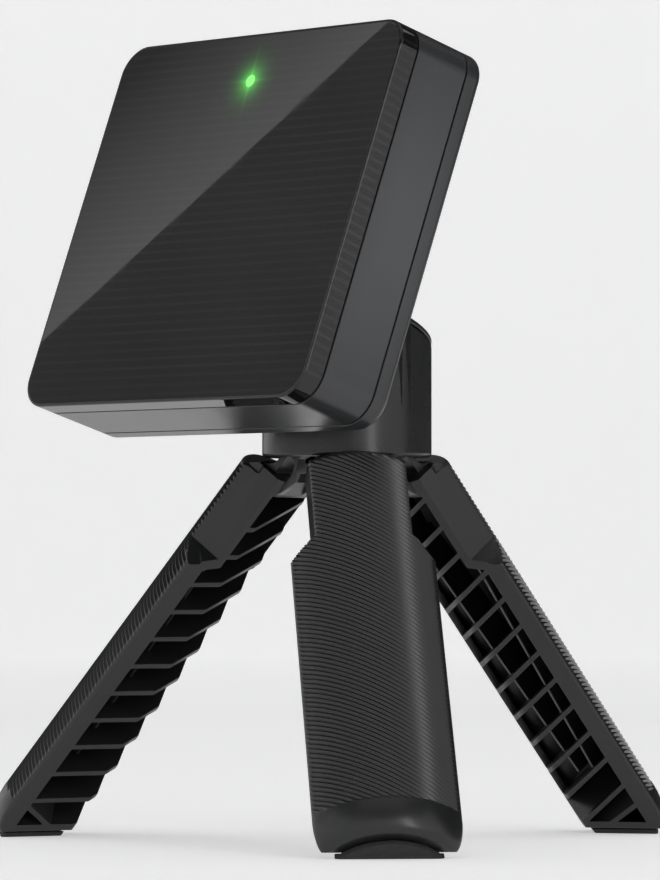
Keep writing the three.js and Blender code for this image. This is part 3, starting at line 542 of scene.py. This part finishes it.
leg_mesh = None
for side_name, azimuth in LEGS.items():
    place = leg_place(azimuth)
    node = f"leg_{side_name}"
    if leg_mesh is None:
        leg_piece = new_object(f"ridged_leg_{side_name}", cleaned_copy(node, place), place)
        bevelled(leg_piece, 0.16, 2, 32)
        cut_by(leg_piece, [new_object("sleeve", ridge_sleeve(), place)])
        leg_mesh = leg_piece.data
    else:
        leg_piece = new_object(f"ridged_leg_{side_name}", leg_mesh.copy(), place)
    finish_piece(leg_piece, node, 40)
    pad_node = f"foot_pad_{side_name}"
    pad = new_object(f"rubber_foot_{side_name}", cleaned_copy(pad_node, place), place)
    bevelled(pad, 0.3, 3, 30)
    finish_piece(pad, pad_node)

# ---- Pieces that keep the CAD form, with softened edges ----
SOFTENED = {
    "head_body": ("head_column", 0.3, 3),
    "head_cap": ("head_lid", 0.35, 3),
    "mount_pad": ("mount_ring", 0.2, 2),
    "leg_hub": ("hub_plate", 0.2, 2),
    "pan_bolt": ("pan_screw", 0.12, 2),
    "power_button": ("side_button", 0.45, 3),
    "port_cap": ("port_flap", 0.35, 3),
}
for node, (name, width, segments) in SOFTENED.items():
    local = MONITOR_PLACE if BODY_OF[node] in ("monitor", "power_button", "port_cap") else Matrix.Identity(4)
    piece = new_object(name, cleaned_copy(node, local), local)
    bevelled(piece, width, segments, 35)
    finish_piece(piece, node)

# ---- Inner pieces keep their CAD meshes and take a material ----
for node, obj in NODES.items():
    if not obj.hide_render:
        obj.data.materials.clear()
        obj.data.materials.append(MATERIALS[SLOT_OF[node]])

# ---- Stage: pale floor that sweeps up behind, soft lights and the camera ----
CAMERA_AZIMUTH = 48.908
TARGET = Vector((0, 0, 0.085))


def direction(azimuth, elevation):
    a, e = math.radians(azimuth), math.radians(elevation)
    return Vector((math.sin(a) * math.cos(e), -math.cos(a) * math.cos(e), math.sin(e)))


def sweep():
    """Floor with a long curve up to a wall, symmetrical about the object."""
    radius, run, height, steps = 1.2, 3.0, 3.4, 24
    profile = [(0.0, 0.0), (run, 0.0)]
    profile += [
        (run + radius * math.sin(a), radius * (1 - math.cos(a)))
        for a in np.linspace(0, math.pi / 2, steps)
    ]
    profile.append((run + radius, height))
    count = 72
    vertices, faces = [(0.0, 0.0, 0.0)], []
    for r, z in profile[1:]:
        for a in np.linspace(0, 2 * math.pi, count, False):
            vertices.append((r * math.cos(a), r * math.sin(a), z))
    for j in range(count):
        faces.append((0, 1 + j, 1 + (j + 1) % count))
    for i in range(len(profile) - 2):
        a, b = 1 + i * count, 1 + (i + 1) * count
        for j in range(count):
            k = (j + 1) % count
            faces.append((a + j, b + j, b + k, a + k))
    mesh = bpy.data.meshes.new("pale_floor")
    mesh.from_pydata(vertices, [], faces)
    mesh.shade_smooth()
    return new_object("pale_floor", mesh)


floor = sweep()
floor_look = Shader("pale_floor", Roughness=0.85)
floor_look.set("Base Color", floor_look.mix(floor_look.noise(40.0), rgba(0.80), rgba(0.82)))
floor_look.bsdf.inputs["Specular IOR Level"].default_value = 0.1
floor_look.bsdf.inputs["Emission Color"].default_value = (1, 1, 1, 1)
floor_look.bsdf.inputs["Emission Strength"].default_value = 0.39
floor.data.materials.append(floor_look.material)


def softbox(
    name, azimuth, elevation, distance, width, height, radiance, target=TARGET, spread=180.0
):
    """Area light aimed at the target; radiance sets its power, and spread narrows its cone."""
    data = bpy.data.lights.new(name, "AREA")
    data.shape = "RECTANGLE"
    data.size, data.size_y = width, height
    data.spread = math.radians(spread)
    data.energy = radiance * width * height * math.pi
    light = bpy.data.objects.new(name, data)
    bpy.context.scene.collection.objects.link(light)
    towards = direction(azimuth, elevation)
    light.location = target + towards * distance
    light.rotation_mode = "QUATERNION"
    light.rotation_quaternion = (-towards).to_track_quat("-Z", "Y")
    return light


world = bpy.data.worlds.new("studio")
bpy.context.scene.world = world
world.use_nodes = True
world.node_tree.nodes["Background"].inputs["Color"].default_value = (0.86, 0.865, 0.875, 1)
world.node_tree.nodes["Background"].inputs["Strength"].default_value = 0.18
bpy.context.scene.view_settings.view_transform = "Standard"

softbox("top_light", CAMERA_AZIMUTH, 82, 1.6, 1.6, 1.6, 0.4)
softbox("strip_light", CAMERA_AZIMUTH + 33, 12, 1.7, 0.16, 1.3, 8.0)
SIDE_MIDDLE = MONITOR_PLACE @ Vector((BODY_WIDTH / 2 * MM, 11.5 * MM, -2 * MM))
side_light = softbox("side_light", 98, 4, 0.16, 0.05, 0.05, 2.2, SIDE_MIDDLE, 32)
side_light.visible_glossy = False

CAMERA_PLACE = Vector((0.88194, -0.78457, 0.05346))
CARD_DISTANCE = 1.5
CARD_HALF_SIZE = (0.34, 0.30)
# Two ends of the reflection's slanting edge on the front face, and the corner its light fades towards.
CARD_CORNERS = ((-42.2, -25.4), (38.4, 40.1), (-44.5, 41.0))
FACE_NORMAL = MONITOR_PLACE.to_3x3() @ Vector((0, -1, 0))


def mirrored(x, z, centre=None):
    """Where the reflection at a point of the front face meets the card's plane, or its direction."""
    point = MONITOR_PLACE @ (Vector((x, 0, z)) * MM)
    ray = (point - CAMERA_PLACE).normalized()
    ray = ray - 2 * ray.dot(FACE_NORMAL) * FACE_NORMAL
    if centre is None:
        return point, ray
    origin, axis = centre
    return point + ray * ((origin - point).dot(axis) / ray.dot(axis))


def reflection_card():
    """Studio card that the glossy front mirrors: its lit half fades away from a slanting edge."""
    start, axis = mirrored(0, 0)
    plane = (start + axis * CARD_DISTANCE, axis)
    low, high, corner = (mirrored(x, z, plane) for x, z in CARD_CORNERS)
    along = (high - low).normalized()
    across = axis.cross(along).normalized()
    middle = (low + high) / 2
    reach = (corner - middle).dot(across)
    if reach < 0:
        across, reach = -across, -reach
    place = Matrix((along, across, along.cross(across))).transposed().to_4x4()
    place.translation = middle
    half_x, half_y = CARD_HALF_SIZE
    vertices = [(sx * half_x, sy * half_y, 0.0) for sx, sy in ((-1, -1), (1, -1), (1, 1), (-1, 1))]
    mesh = bpy.data.meshes.new("reflection_card")
    mesh.from_pydata(vertices, [], [(0, 1, 2, 3)])
    card = new_object("reflection_card", mesh, place)
    look = Shader("reflection_card", Roughness=1.0)
    look.bsdf.inputs["Base Color"].default_value = (0, 0, 0, 1)
    look.bsdf.inputs["Specular IOR Level"].default_value = 0.0
    y = look.axis(1)
    fade = look.spread(y, 1.12, 0.30, 0.0, reach * 0.86)
    lit = look.math("GREATER_THAN", y, 0.0)
    dim = look.spread(look.noise(120.0), 0.30, 0.40)
    level = look.math("ADD", look.math("MULTIPLY", fade, lit),
                      look.math("MULTIPLY", dim, look.math("SUBTRACT", 1.0, lit)))
    look.set("Emission Strength", level)
    look.bsdf.inputs["Emission Color"].default_value = (1, 1, 1, 1)
    mesh.materials.append(look.material)
    card.visible_camera = card.visible_diffuse = card.visible_shadow = False


reflection_card()


def dark_screen():
    """Curved black flag that keeps the pale surroundings out of the object's far side."""
    radius, height = 1.4, 1.2
    turns = [math.radians(CAMERA_AZIMUTH + a) for a in np.linspace(85, 205, 21)]
    vertices = [(radius * math.sin(a), -radius * math.cos(a), z) for z in (0.02, height) for a in turns]
    count = len(turns)
    faces = [(j, j + 1, count + j + 1, count + j) for j in range(count - 1)]
    mesh = bpy.data.meshes.new("dark_screen")
    mesh.from_pydata(vertices, [], faces)
    screen = new_object("dark_screen", mesh)
    look = Shader("dark_screen", Roughness=0.9)
    look.set("Base Color", look.mix(look.noise(60.0), rgba(0.02), rgba(0.04)))
    mesh.materials.append(look.material)
    screen.visible_camera = screen.visible_diffuse = screen.visible_shadow = False


dark_screen()

camera_data = bpy.data.cameras.new("camera")
camera_data.lens = 229.39
camera_data.sensor_width = 36.0
camera_data.clip_end = 50
camera = bpy.data.objects.new("camera", camera_data)
bpy.context.scene.collection.objects.link(camera)
camera.location = CAMERA_PLACE
look = Vector((-0.75368, 0.65724, math.tan(math.radians(1.479))))
camera.rotation_mode = "QUATERNION"
camera.rotation_quaternion = look.to_track_quat("-Z", "Y")
bpy.context.scene.camera = camera
